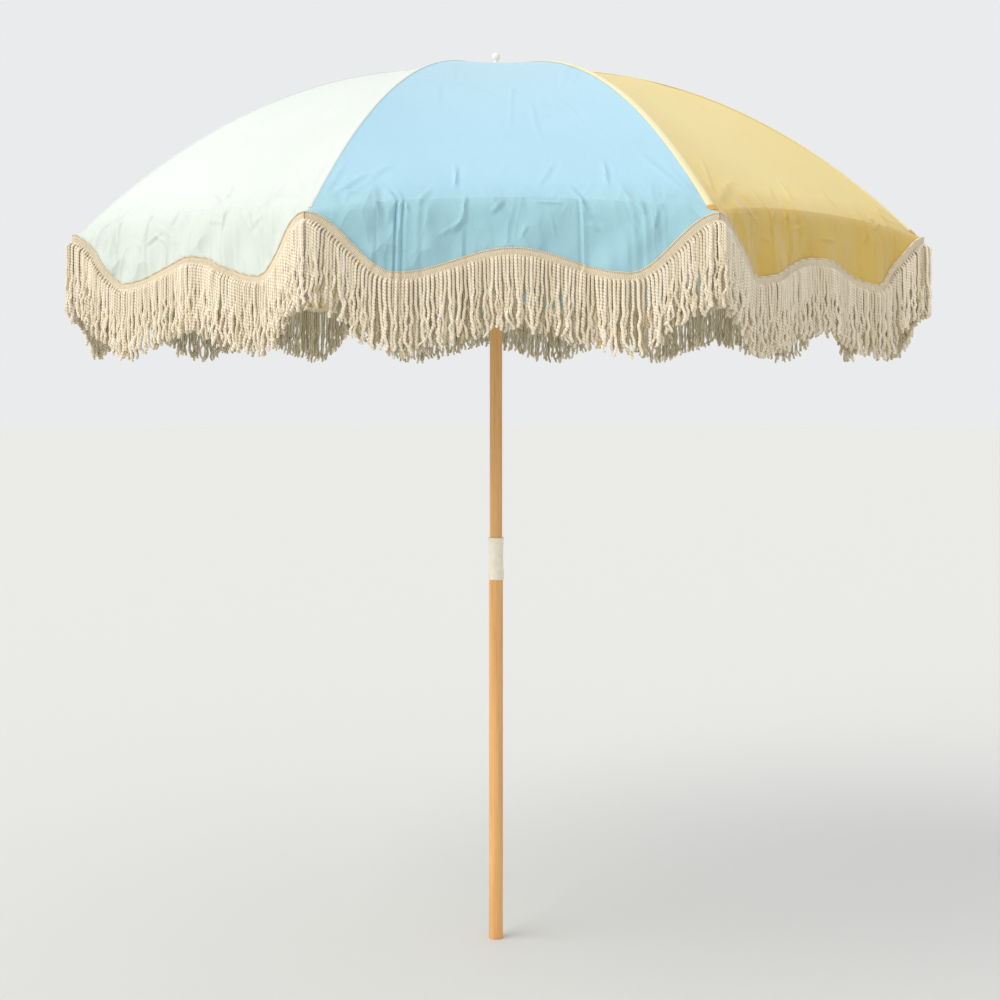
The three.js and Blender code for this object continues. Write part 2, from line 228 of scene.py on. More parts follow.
def wave(tree, vector, scale, direction="X", distortion=0.0):
    node = add_node(tree, "ShaderNodeTexWave", bands_direction=direction)
    node.inputs["Scale"].default_value = scale
    node.inputs["Distortion"].default_value = distortion
    tree.links.new(vector, node.inputs["Vector"])
    return node.outputs["Fac"]


def ramp(tree, factor, stops):
    node = add_node(tree, "ShaderNodeValToRGB")
    elements = node.color_ramp.elements
    while len(elements) < len(stops):
        elements.new(0.5)
    for element, (position, colour) in zip(elements, stops):
        element.position = position
        element.color = colour
    tree.links.new(factor, node.inputs["Fac"])
    return node.outputs["Color"]


def mixed(tree, factor, first, second, blend="MIX"):
    node = add_node(tree, "ShaderNodeMix", data_type="RGBA", blend_type=blend)
    for socket, value in ((node.inputs["Factor"], factor), (node.inputs[6], first),
                          (node.inputs[7], second)):
        if isinstance(value, (float, tuple)):
            socket.default_value = value
        else:
            tree.links.new(value, socket)
    return node.outputs[2]


def maths(tree, operation, first, second):
    node = add_node(tree, "ShaderNodeMath", operation=operation)
    for socket, value in zip(node.inputs, (first, second)):
        if isinstance(value, (int, float)):
            socket.default_value = value
        else:
            tree.links.new(value, socket)
    return node.outputs[0]


def bumped(tree, shader, height, distance, strength=1.0, before=None):
    node = add_node(tree, "ShaderNodeBump")
    node.inputs["Strength"].default_value = strength
    node.inputs["Distance"].default_value = distance
    tree.links.new(height, node.inputs["Height"])
    if before is not None:
        tree.links.new(before, node.inputs["Normal"])
    tree.links.new(node.outputs["Normal"], shader.inputs["Normal"])
    return node.outputs["Normal"]


def crumpled(tree, shader, low, before):
    """Sharp little creases, like crushed paper's, that grow towards the fold and below it."""
    place = stretched(tree, "UV", (1.0, 0.6, 1))
    stray = add_node(tree, "ShaderNodeTexNoise")
    stray.inputs["Scale"].default_value = 7
    tree.links.new(place, stray.inputs["Vector"])
    bent = mixed(tree, 0.20, place, stray.outputs["Color"])
    facets = add_node(tree, "ShaderNodeTexVoronoi", feature="F1")
    facets.inputs["Scale"].default_value = 24
    tree.links.new(bent, facets.inputs["Vector"])
    patches = ramp(tree, noise(tree, place, 6, 2), [(0.40, (0, 0, 0, 1)), (0.68, (1, 1, 1, 1))])
    height = maths(tree, "MULTIPLY", facets.outputs["Distance"], low)
    height = maths(tree, "MULTIPLY", height, patches)
    return bumped(tree, shader, height, 0.020, 0.9, before)


def cloth_material(name, pale, deep, below=(1, 1, 1, 1)):
    """Plain-woven canvas, with painted shade between the threads' crowns and a slow change of tone
    across it.

    The last colour darkens the part under the fold: painted shade, as the hanging valance gets less
    light from above than the top.
    """
    material, tree, shader = new_material(name, 0.75, Sheen_Weight=0.35, Sheen_Roughness=0.45)
    threads = stretched(tree, "UV", (1, 1, 1))
    warp = wave(tree, threads, 420, "X", 0.6)
    weft = wave(tree, threads, 420, "Y", 0.6)
    weave = maths(tree, "MULTIPLY", warp, weft)
    slow = noise(tree, stretched(tree, "Object", (1, 1, 1)), 2.2, 4)
    tone = ramp(tree, slow, [(0.35, deep), (0.65, pale)])
    slub = noise(tree, stretched(tree, "UV", (9, 160, 1)), 9, 2)
    toned = mixed(tree, 0.10, tone, ramp(tree, slub, [(0.3, deep), (0.7, pale)]))
    # painted shade: the weave's hollows between the threads are darkened to 0.9
    shade = ramp(tree, weave, [(0.0, (0.90, 0.90, 0.90, 1)), (0.6, (1, 1, 1, 1))])
    colour = mixed(tree, 1.0, toned, shade, "MULTIPLY")
    down = add_node(tree, "ShaderNodeSeparateXYZ")
    tree.links.new(threads, down.inputs[0])
    low = ramp(tree, down.outputs["Y"], [(HEM_R - 0.07, (0, 0, 0, 1)), (HEM_R + 0.03, (1, 1, 1, 1))])
    # painted shade: under the fold the colour is multiplied by the last colour, because the hanging
    # valance gets less light
    painted_shade_tint = mixed(tree, low, (1.0, 1.0, 1.0, 1.0), below)
    tree.links.new(mixed(tree, 1.0, colour, painted_shade_tint, "MULTIPLY"), shader.inputs["Base Color"])
    rumple = noise(tree, stretched(tree, "Object", (1, 1, 1)), 38, 5, 0.6)
    normal = bumped(tree, shader, rumple, 0.0016, 0.55)
    normal = crumpled(tree, shader, low, normal)
    bumped(tree, shader, weave, 0.0003, 0.5, normal)
    return material


def cotton_material(name, pale, deep, twist, groove_shade):
    """Soft twisted cotton, with painted shade in the grooves of its twist. Each strand carries a tone
    of its own in the attribute `tone`; in the fringe the back row's tone is also lowered, which is
    painted shade.
    """
    material, tree, shader = new_material(name, 0.9, Sheen_Weight=0.4, Sheen_Roughness=0.6)
    tone = add_node(tree, "ShaderNodeAttribute", attribute_name="tone").outputs["Fac"]
    fibre = noise(tree, stretched(tree, "UV", (60, 9, 1)), 12, 3)
    blend = maths(tree, "ADD", maths(tree, "MULTIPLY", tone, 0.7), maths(tree, "MULTIPLY", fibre, 0.3))
    colour = ramp(tree, blend, [(0.1, deep), (0.75, pale)])
    plies = wave(tree, stretched(tree, "UV", twist), 1, "DIAGONAL", 0.4)
    # painted shade: the grooves between the plies, or between the tape's ribs, are darkened towards the
    # last colour
    shade = ramp(tree, plies, [(0.0, groove_shade), (0.45, (1, 1, 1, 1))])
    tree.links.new(mixed(tree, 0.85, colour, shade, "MULTIPLY"), shader.inputs["Base Color"])
    bumped(tree, shader, plies, 0.0008, 0.7)
    return material


def wood_material():
    material, tree, shader = new_material(
        "pole_wood", 0.5, Coat_Weight=0.12, Coat_Roughness=0.35)
    along = stretched(tree, "Object", (30, 30, 1.3))
    grain = noise(tree, along, 3.0, 6, 0.62)
    rings = wave(tree, stretched(tree, "Object", (1, 0.35, 0.02)), 55, "X", 5.0)
    light = srgb(241, 187, 120)
    middle = srgb(230, 174, 107)
    dark = srgb(206, 149, 84)
    base = ramp(tree, grain, [(0.25, dark), (0.5, middle), (0.75, light)])
    ringed = mixed(tree, 0.16, base, ramp(tree, rings, [(0.0, dark), (0.5, light)]))
    pores = noise(tree, stretched(tree, "Object", (260, 260, 7)), 4.0, 3)
    flecks = ramp(tree, pores, [(0.30, (0.72, 0.62, 0.52, 1)), (0.42, (1, 1, 1, 1))])
    tree.links.new(mixed(tree, 0.5, ringed, flecks, "MULTIPLY"), shader.inputs["Base Color"])
    bumped(tree, shader, grain, 0.0004, 0.4)
    return material


def plastic_material(name, colour, worn, roughness):
    material, tree, shader = new_material(name, roughness, Coat_Weight=0.15)
    marks = noise(tree, stretched(tree, "Object", (1, 1, 1)), 60, 4)
    tree.links.new(ramp(tree, marks, [(0.3, worn), (0.6, colour)]), shader.inputs["Base Color"])
    skin = noise(tree, stretched(tree, "Object", (1, 1, 1)), 700, 2)
    bumped(tree, shader, skin, 0.0001, 0.3)
    return material


def steel_material():
    material, tree, shader = new_material("zinc_steel", 0.34, Metallic=1.0)
    drawn = noise(tree, stretched(tree, "Object", (1, 1, 1)), 90, 5)
    tree.links.new(ramp(tree, drawn, [(0.3, srgb(150, 153, 156)), (0.7, srgb(205, 207, 208))]),
                   shader.inputs["Base Color"])
    bumped(tree, shader, drawn, 0.0002, 0.25)
    return material


def make_materials():
    return {
        # The fourth colour of each panel cloth is painted shade, multiplied into the part under the
        # fold.
        BLUE: cloth_material("cloth_blue", srgb(178, 221, 240), srgb(171, 215, 235),
                             (0.86, 0.90, 0.84, 1)),
        YELLOW: cloth_material("cloth_yellow", srgb(247, 225, 143), srgb(241, 216, 130),
                               (0.80, 0.69, 0.42, 1)),
        WHITE: cloth_material("cloth_white", srgb(230, 236, 232), srgb(224, 232, 226),
                              (0.90, 0.93, 0.89, 1)),
        "straw": cloth_material("binding_straw", srgb(250, 238, 192), srgb(244, 229, 178)),
        "tab": cloth_material("tab_orange", srgb(232, 178, 84), srgb(220, 160, 66)),
        # For both cottons the last colour is painted shade, in the grooves between the fringe's plies
        # and between the tape's ribs.
        "cord": cotton_material("fringe_cotton", srgb(247, 236, 214), srgb(192, 174, 130),
                                (0.4 * math.pi, 0.2 * math.pi / PLY_TURN, 0), (0.74, 0.69, 0.59, 1)),
        "tape": cotton_material("header_cotton", srgb(240, 228, 202), srgb(204, 184, 144),
                                (0.2 * math.pi / TAPE_RIB, 0, 0), (0.52, 0.46, 0.36, 1)),
        "wood": wood_material(),
        "ivory": plastic_material("coupling_ivory", srgb(246, 238, 218), srgb(238, 228, 204), 0.36),
        "hub": plastic_material("hub_white", srgb(236, 236, 232), srgb(224, 224, 220), 0.38),
        "dark": plastic_material("tip_dark", srgb(62, 55, 50), srgb(48, 42, 38), 0.45),
        "steel": steel_material(),
    }


# ---------------------------------------------------------------- mesh helpers
def make_piece(name, points, quads, material, uv=None, tone=None, sharp_angle=50):
    """One mesh object from an array of points and an array of quads."""
    mesh = bpy.data.meshes.new(name)
    mesh.vertices.add(len(points))
    mesh.vertices.foreach_set("co", np.asarray(points, np.float32).ravel())
    mesh.loops.add(4 * len(quads))
    mesh.loops.foreach_set("vertex_index", np.asarray(quads, np.int32).ravel())
    mesh.polygons.add(len(quads))
    mesh.polygons.foreach_set("loop_start", np.arange(0, 4 * len(quads), 4, dtype=np.int32))
    mesh.update(calc_edges=True)
    mesh.shade_smooth()
    if uv is not None:
        layer = mesh.uv_layers.new(name="UVMap")
        layer.data.foreach_set("uv", np.asarray(uv, np.float32)[quads.ravel()].ravel())
    if tone is not None:
        attribute = mesh.attributes.new("tone", "FLOAT", "POINT")
        attribute.data.foreach_set("value", np.asarray(tone, np.float32))
    if sharp_angle:
        mesh.set_sharp_from_angle(angle=math.radians(sharp_angle))
    mesh.materials.append(material)
    piece = bpy.data.objects.new(name, mesh)
    bpy.context.collection.objects.link(piece)
    return piece


def grid_quads(rows, columns, first=0, flip=False):
    i, j = np.meshgrid(np.arange(rows - 1), np.arange(columns - 1), indexing="ij")
    a = (first + i * columns + j).ravel()
    quads = np.stack([a, a + columns, a + columns + 1, a + 1], axis=1)
    return quads[:, ::-1] if flip else quads


def grid_normals(points):
    """Unit normals of a rows x columns x 3 grid, turned to the side where the dome's outside is."""
    down = np.gradient(points, axis=0)
    across = np.gradient(points, axis=1)
    normals = np.cross(down, across)
    normals /= np.maximum(np.linalg.norm(normals, axis=2, keepdims=True), 1e-12)
    return normals


def shell(points, uv, thickness):
    """A closed thin sheet. Its outside is the given grid, and its inside lies `thickness` within."""
    rows, columns = points.shape[:2]
    inner = points - grid_normals(points) * thickness
    count = rows * columns
    top = np.arange(count).reshape(rows, columns)
    loop = np.concatenate([top[0, :-1], top[:-1, -1], top[-1, :0:-1], top[:0:-1, 0]])
    after = np.roll(loop, -1)
    rim = np.stack([loop, loop + count, after + count, after], axis=1)[:, ::-1]
    quads = np.concatenate([
        grid_quads(rows, columns), grid_quads(rows, columns, count, flip=True), rim])
    vertices = np.concatenate([points.reshape(-1, 3), inner.reshape(-1, 3)])
    return vertices, quads, np.concatenate([uv.reshape(-1, 2)] * 2)


def lathe(name, profile, material, sides=72):
    """A turned piece from (radius, height) points, closed at the axis or on itself."""
    turn = np.linspace(0, 2 * math.pi, sides, endpoint=False)
    rings = np.array([[(r * math.cos(t), r * math.sin(t), z) for t in turn] for r, z in profile])
    rows = len(profile)
    i, j = np.meshgrid(np.arange(rows - 1), np.arange(sides), indexing="ij")
    a = (i * sides + j).ravel()
    b = (i * sides + (j + 1) % sides).ravel()
    quads = np.stack([a, b, b + sides, a + sides], axis=1)
    u = np.broadcast_to(turn / (2 * math.pi), (rows, sides))
    v = np.broadcast_to(np.array([z for _, z in profile])[:, None], (rows, sides))
    uv = np.stack([u, v], axis=2).reshape(-1, 2)
    piece = make_piece(name, rings.reshape(-1, 3), quads, material, uv, sharp_angle=35)
    weld(piece)
    return piece


def weld(piece):
    """Merges points that lie together, as on a lathe's axis or where its outline closes."""
    work = bmesh.new()
    work.from_mesh(piece.data)
    bmesh.ops.remove_doubles(work, verts=work.verts, dist=1e-6)
    bmesh.ops.dissolve_degenerate(work, edges=work.edges, dist=1e-7)
    bmesh.ops.recalc_face_normals(work, faces=work.faces)
    work.to_mesh(piece.data)
    work.free()


def graded(start, stop, count, edge=0.03):
    """Steps from start to stop, with a much shorter step at each end, so that pieces shade as one."""
    inside = np.linspace(0, 1, count)
    short = edge / count
    return start + (stop - start) * np.concatenate([[0, short], inside[1:-1], [1 - short, 1]])


def smooth_step(low, high, x):
    t = np.clip((x - low) / (high - low), 0, 1)
    return t * t * (3 - 2 * t)


# ---------------------------------------------------------------- the cloth's shape
def dome_z(r):
    return APEX_Z - DOME_DROP * r ** DOME_POWER


def dome_slope(r):
    return np.arctan(DOME_POWER * DOME_DROP * r ** (DOME_POWER - 1))


def hem_radius(share):
    """Where a panel folds over into its valance. `share` runs from -1 at one rib to 1 at the next."""
    return HEM_R - HEM_ARCH * (1 - share ** 2)


def edge_drop(share):
    """How far the scalloped edge lies below the rib tips."""
    at = np.abs(share)
    mean = (MID_DROP + LOBE_DROP) / 2
    middle = mean - (LOBE_DROP - MID_DROP) / 2 * np.cos(np.pi * np.minimum(at, LOBE_AT) / LOBE_AT)
    fall = (1 + np.cos(np.pi * np.clip((at - LOBE_AT) / (1 - LOBE_AT), 0, 1))) / 2
    return np.where(at < LOBE_AT, middle, TIP_DROP + (LOBE_DROP - TIP_DROP) * fall)


class Creases:
    """The folds and creases of one panel: a height above the smooth cloth at (across, along)."""

    def __init__(self, number):
        draw = np.random.default_rng(SEED + number)
        self.lines = []
        for _ in range(9):  # long soft creases down the panel
            self.add(draw, draw.uniform(-0.8, 0.8), draw.uniform(0.45, 0.85),
                     draw.normal(0, 0.35), draw.uniform(0.12, 0.30),
                     draw.uniform(0.004, 0.008), draw.uniform(0.0004, 0.0012))
        for _ in range(26):  # short sharp ones near and below the fold
            self.add(draw, draw.uniform(-0.8, 0.8), draw.uniform(0.95, 1.06),
                     draw.normal(0, 0.8), draw.uniform(0.03, 0.09),
                     draw.uniform(0.0024, 0.0048), draw.uniform(0.0014, 0.0040))
        for side in (-1, 1):  # pulled folds that run in from each rib tip
            for spread in (0.35, 0.7, 1.0, 1.3):
                angle = -side * (math.pi / 2 - spread * draw.uniform(0.85, 1.15) * 0.9)
                self.add(draw, side * 0.95, 0.985, angle, draw.uniform(0.10, 0.20),
                         draw.uniform(0.004, 0.007), draw.uniform(0.0010, 0.0022))
        self.waves = [(draw.uniform(7, 26), draw.uniform(0, FULL_TURN), draw.uniform(-3, 3))
                      for _ in range(7)]

    def add(self, draw, share, along, angle, length, width, height):
        across = share * HEM_R * math.sin(HALF) * along
        self.lines.append((across, along * HEM_R, angle, length, width, height, draw.normal(0, 1.2)))

    def height(self, across, along):
        total = np.zeros_like(across)
        for x, y, angle, length, width, height, bend in self.lines:
            dx, dy = across - x, along - y
            way = dx * math.sin(angle) - dy * math.cos(angle)
            off = dx * math.cos(angle) + dy * math.sin(angle) - bend * way * way
            taper = smooth_step(0, 0.3 * length, way) * (1 - smooth_step(0.6 * length, length, way))
            trough = np.exp(-((off - 1.9 * width) / (1.6 * width)) ** 2)
            ridge = np.exp(-(off / width) ** 2) - 0.6 * trough
            total += height * taper * ridge
        return total

    def folds(self, across, along, depth):
        """Soft folds that grow below the hem's fold line."""
        total = np.zeros_like(across)
        for count, phase, lean in self.waves:
            total += np.cos(count * (across * 2.6 + lean * depth) + phase) / (4 + count)
        return total * smooth_step(0.0, 0.09, depth) * RIPPLE


CREASES = [Creases(n) for n in range(RIBS)]


def fade_at_ribs(share):
    return 1 - smooth_step(0.965, 1.0, np.abs(share))


def panel_points(number, share, r, depth=0.0):
    """Points of a panel, `depth` under its outside, in a frame whose +X runs through its middle."""
    x = r * math.cos(HALF)
    y = share * r * math.sin(HALF)
    z = dome_z(r)
    sag = SAG * (1 - share ** 2) * np.sin(np.pi * np.clip(r / HEM_R, 0, 1) ** 1.6)
    lift = CREASES[number].height(y, r) * fade_at_ribs(share) - sag - depth
    slope = dome_slope(r)
    return np.stack([x + lift * np.sin(slope), y, z + lift * np.cos(slope)], axis=-1)


def valance_points(number, share, part):
    """Points of a valance, `part` running from 0 at the fold to 1 at the scalloped edge."""
    hem = panel_points(number, share, hem_radius(share))
    fall = part * (edge_drop(share) + hem[..., 2] - dome_z(HEM_R))
    # The cloth leaves the fold outward, and bends down until it hangs straight.
    corner = smooth_step(0.72, 1.0, np.abs(share)) * CORNER_FLARE
    out = FLARE * (1 - np.exp(-fall / FLARE_TURN)) + corner * np.minimum(part, 1)
    across = share * HEM_R * math.sin(HALF)
    creases = CREASES[number]
    edge = hem_radius(share)
    lift = creases.height(across, edge + fall) - creases.height(across, edge + 0 * fall)
    lift += creases.folds(across, edge + fall, fall)
    points = hem.copy()
    points[..., 0] += out + lift * fade_at_ribs(share)
    # Outward travel spreads the valance too, so that it meets its neighbour over the rib.
    points[..., 1] += (across - hem[..., 1]) * part + share * out * math.tan(HALF)
    points[..., 2] -= fall
    return points


def turned_about_z(points, angle):
    c, s = math.cos(angle), math.sin(angle)
    x, y = points[..., 0], points[..., 1]
    return np.stack([c * x - s * y, s * x + c * y, points[..., 2]], axis=-1)


def halves():
    """Each half panel: its panel's index, the number of the rib it folds with, and its sign."""
    for number in range(RIBS):
        yield number, number + 1, -1
        yield number, (number + 1) % RIBS + 1, 1


def panel_angle(number):
    return FIRST_RIB + (number + 0.5) * SECTOR


def fold_with_rib(piece):
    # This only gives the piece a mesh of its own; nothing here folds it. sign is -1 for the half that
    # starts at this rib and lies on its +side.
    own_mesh(piece)


def make_layers(name, number, layers, material, tone=None):
    """One piece from several closed sheets that are given in their panel's own frame."""
    counts = np.cumsum([0] + [len(vertices) for vertices, _, _ in layers])
    vertices = turned_about_z(np.concatenate([layer[0] for layer in layers]), panel_angle(number))
    quads = np.concatenate([layer[1] + first for layer, first in zip(layers, counts)])
    uv = np.concatenate([layer[2] for layer in layers])
    values = None if tone is None else np.broadcast_to(tone, len(vertices))
    return make_piece(name, vertices, quads, material, uv, values)


def hidden_laps(number, sign, inner):
    """Cloth that runs on under the other half panel, and under the skirt, to cover the joins.

    Each lap is a grid of points with its own texture coordinates.
    """
    start, stop = (0.03, FLEX_R) if inner else (FLEX_R, hem_radius(0) - 0.004)
    r = np.linspace(start, stop, 40)[:, None]
    across = np.linspace(-LAP / 2, LAP / 2, 5)[None, :]
    share = across / (r * math.sin(HALF))
    depth = LAP_DEPTH if sign > 0 else 2 * LAP_DEPTH
    points = panel_points(number, share, r + 0 * share, depth)
    laps = [(points, np.stack(np.broadcast_arrays(across, r), axis=-1))]
    if inner:
        r = np.linspace(FLEX_R - LAP / 3, FLEX_R + LAP, 7)[:, None]
        share = sign * np.linspace(0.03, 0.97, 40)[None, ::sign]
        points = panel_points(number, share + 0 * r, r + 0 * share, LAP_DEPTH)
        uv = np.stack([share * r * math.sin(HALF), r + 0 * share], axis=-1)
        laps.append((points, uv))
    return laps


def add_half_panel(number, rib, sign, inner, material):
    rows, columns = (graded(0, 1, count) for count in (TOP_GRID if inner else SKIRT_GRID))
    share = sign * columns[None, :] if sign > 0 else sign * (1 - columns[None, :])
    share = np.broadcast_to(share, (len(rows), columns.size))
    if inner:
        r = HOLE_R + (FLEX_R - HOLE_R) * rows[:, None] + 0 * share
    else:
        r = FLEX_R + (hem_radius(share) - FLEX_R) * rows[:, None]
    points = panel_points(number, share, r)
    uv = np.stack([share * r * math.sin(HALF), r], axis=-1)
    grids = [(points, uv)] + hidden_laps(number, sign, inner)
    layers = [shell(*grid, CLOTH) for grid in grids]
    part = "top" if inner else "skirt"
    side = "b" if sign > 0 else "a"
    piece = make_layers(f"cloth_{part}_{number + 1}{side}", number, layers, material)
    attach(piece, f"rib_{rib}" if inner else f"rib_{rib}_outer")
    fold_with_rib(piece)
    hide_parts(f"canopy_panel_{number + 1}")


def half_shares(sign, count):
    """Shares of the half panel on one side, from the panel's middle to its rib or back."""
    steps = graded(0, 1, count)
    return steps if sign > 0 else -steps[::-1]


def add_half_valance(number, rib, sign, material):
    shares = half_shares(sign, VALANCE_GRID[1])
    share, part = np.broadcast_arrays(shares[None, :], graded(0, 1, VALANCE_GRID[0])[:, None])
    points = valance_points(number, share, part)
    uv = np.stack([share * HEM_R * math.sin(HALF), HEM_R + part * edge_drop(share)], axis=-1)
    share, rise = np.broadcast_arrays(shares[None, :] * 0.97, np.linspace(HEM_LAP, 0.002, 6)[:, None])
    lap = panel_points(number, share, hem_radius(share) - rise, HEM_LAP_DEPTH)
    lap_uv = np.stack([share * HEM_R * math.sin(HALF), HEM_R - rise], axis=-1)
    layers = [shell(points, uv, CLOTH), shell(lap, lap_uv, CLOTH)]
    side = "b" if sign > 0 else "a"
    piece = make_layers(f"valance_{number + 1}{side}", number, layers, material)
    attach(piece, f"valance_{rib}")
    fold_with_rib(piece)
    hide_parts(f"valance_fringe_{number + 1}")


# ---------------------------------------------------------------- fringe
def edge_line(number, share):
    """The scalloped edge, the way that the tape hangs from it, and the distance along it."""
    edge = valance_points(number, share, np.ones_like(share))
    tangent = np.gradient(edge, share, axis=0)
    down = np.cross([1.0, 0, 0], tangent)
    down *= -np.sign(down[:, 2:3])
    down /= np.linalg.norm(down, axis=1, keepdims=True)
    steps = np.linalg.norm(np.diff(edge, axis=0), axis=1)
    return edge, down, np.concatenate([[0], np.cumsum(steps)])


# The tape's section, from its corded top edge to its lower lip: how far down it, how far out of the
# cloth, how strongly its ribs show, and whether it is part of the cord.
TAPE_SECTION = [
    (-0.0026, 0.0010, 0.2, True), (-0.0023, 0.0030, 1.0, True), (-0.0010, 0.0042, 1.0, True),
    (0.0002, 0.0030, 1.0, True), (0.0009, 0.0020, 0.4, False), (0.0022, 0.0027, 1.0, False),
    (0.0056, 0.0029, 1.0, False), (0.0092, 0.0028, 1.0, False), (0.0113, 0.0022, 0.5, False),
    (0.0127, 0.0030, 1.0, False), (0.0147, 0.0032, 1.0, False), (0.0159, 0.0026, 0.6, False),
    (TAPE, 0.0012, 0.2, False),
]


def add_header(number, rib, sign, material):
    """The woven tape: ribs across it, a corded top edge and a lip where the strands leave."""
    shares = half_shares(sign, HEADER_COLUMNS)
    edge, down, length = edge_line(number, shares)
    ridge = TAPE_RIDGE * np.cos(2 * np.pi * length / TAPE_RIB)
    turn = 2 * np.pi * length / CORD_TURN
    rows = []
    for place, pad, amount, is_cord in TAPE_SECTION:
        swell = CORD_SWELL * np.cos(turn + place * 900) if is_cord else ridge
        row = edge + down * place
        row[:, 0] += pad + amount * swell
        rows.append(row)
    across = np.array([row[0] for row in TAPE_SECTION])
    uv = np.stack(np.broadcast_arrays(length[None, :], across[:, None]), axis=-1)
    side = "b" if sign > 0 else "a"
    layer = shell(np.stack(rows), uv, TAPE_THICK)
    piece = make_layers(f"header_{number + 1}{side}", number, [layer], material, TAPE_TONE)
    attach(piece, f"valance_{rib}")
    fold_with_rib(piece)


def strand(draw, start, leave, reach, outward, drift, spread):
    """One cord: two plies twisted together, that leaves the tape, falls and ends in a round loop.

    `spread` is how far it moves sideways for each step outward, to close the corner over a rib.
    """
    s = np.arange(0, reach, STRAND_STEP)
    turn = STRAND_BEND * (1 - np.exp(-s / STRAND_BEND))
    centre = start + leave * turn[:, None]
    centre[:, 2] -= s - turn
    loose = smooth_step(0.02, 0.85, s / reach)
    for axis in (0, 1):
        for wavelength, size in ((0.080, 0.0020), (0.036, 0.0012), (0.019, 0.0006)):
            swing = size * draw.uniform(0.3, 1.7) * loose
            centre[:, axis] += swing * np.sin(2 * np.pi * s / wavelength + draw.uniform(0, FULL_TURN))
    hook = smooth_step(reach - 0.020, reach, s) * draw.normal(0, 0.0040)
    out = outward * smooth_step(0, 0.010, s) + draw.normal(0.010, 0.020) * s * loose
    centre[:, 0] += out
    centre[:, 1] += drift * loose + draw.normal(0, 0.018) * s * loose + hook + spread * out
    theta = np.linspace(0, 2 * np.pi, STRAND_SIDES, endpoint=False)
    radius = STRAND_R * draw.uniform(0.9, 1.12) * np.sqrt(
        np.clip(1 - (1 - (reach - s) / STRAND_END).clip(0, 1) ** 2, 0.15, 1))
    twist = 2 * theta[None, :] - 2 * np.pi * s[:, None] / PLY_TURN + draw.uniform(0, FULL_TURN)
    radius = radius[:, None] * (1 + TWIST_SWELL * np.cos(twist))
    ring = np.repeat(centre[:, None, :], STRAND_SIDES, axis=1)
    ring[..., 0] += np.sin(theta) * radius
    ring[..., 1] += np.cos(theta) * radius
    uv = np.stack(np.broadcast_arrays(theta[None, :] / (2 * np.pi), s[:, None]), axis=-1)
    return ring.reshape(-1, 3), tube_quads(len(s)), uv.reshape(-1, 2)


def tube_quads(rings):
    i, j = np.meshgrid(np.arange(rings - 1), np.arange(STRAND_SIDES), indexing="ij")
    a = (i * STRAND_SIDES + j).ravel()
    b = (i * STRAND_SIDES + (j + 1) % STRAND_SIDES).ravel()
    wall = np.stack([a, a + STRAND_SIDES, b + STRAND_SIDES, b], axis=1)
    end = (rings - 1) * STRAND_SIDES
    caps = [[0, 1, 2, 3], [0, 3, 4, 5],
            [end + 3, end + 2, end + 1, end], [end + 5, end + 4, end + 3, end]]
    return np.concatenate([wall, caps])


def add_fringe(number, rib, sign, material):
    draw = np.random.default_rng(SEED * 100 + number * 2 + (sign > 0))
    shares = half_shares(sign, EDGE_COLUMNS)
    edge, down, length = edge_line(number, shares)
    count = int(length[-1] / STRAND_PITCH)
    clumps = [(draw.uniform(*pitches), draw.uniform(0, FULL_TURN))
              for pitches in ((0.017, 0.024), (0.024, 0.034), (0.05, 0.09), (0.09, 0.15))]
    layers, tones_and_back_row_shade = [], []
    for k in range(count):
        at = (k + 0.5 + draw.uniform(-0.12, 0.12)) * length[-1] / count
        place = np.array([np.interp(at, length, column) for column in edge.T])
        leave = np.array([np.interp(at, length, column) for column in down.T])
        share = np.interp(at, length, shares)
        spread = share * math.tan(HALF)
        near_tip = smooth_step(0.74, 1.0, abs(share))
        front = k % 2
        proud = 0.0002 + FRONT_ROW * front
        start = place + leave * (TAPE - STRAND_LEAVES) + [proud, spread * (proud + STRAND_R), 0]
        reach = STRAND_LENGTH * draw.uniform(0.91, 1.07)
        reach += TIP_STRANDS_LONGER * near_tip * draw.uniform(0.6, 1)
        outward = 0.0035 * front + draw.uniform(-0.001, 0.001)
        outward += near_tip * draw.uniform(-0.002, 0.010)
        drift = sum(0.0021 * math.sin(2 * math.pi * at / pitch + phase) for pitch, phase in clumps)
        layers.append(strand(draw, start, leave, reach, outward, drift, spread))
        # painted shade: the back row's tone is lowered by 0.45, towards the cotton's deep olive colour,
        # because that row hangs in the canopy's shade; the rest of each tone is random
        tones_and_back_row_shade.append(np.full(len(layers[-1][0]), draw.uniform(0.45, 1.1) - 0.45 * (1 - front)))
    side = "b" if sign > 0 else "a"
    piece = make_layers(f"fringe_{number + 1}{side}", number, layers, material, np.concatenate(tones_and_back_row_shade))
    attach(piece, f"valance_{rib}")
    fold_with_rib(piece)


# ---------------------------------------------------------------- seams and corners
def along_rib(rib, r, across, height):
    """Points over a rib, `height` above the cloth, which falls away from the seam on each side."""
    slope = dome_slope(r)
    lift = height - np.abs(across) * math.tan(HALF) * np.sin(slope)
    x = r + lift * np.sin(slope)
    z = dome_z(r) + lift * np.cos(slope)
    return turned_about_z(np.stack([x, across + 0 * x, z], axis=-1), FIRST_RIB + (rib - 1) * SECTOR)


# Across a binding: places as shares of its half width, and heights above the cloth.
BINDING_SECTION = [(-1, 0.0001), (-0.88, 0.0008), (-0.5, 0.0010), (0, 0.0011), (0.5, 0.0010),
                   (0.88, 0.0008), (1, 0.0001)]


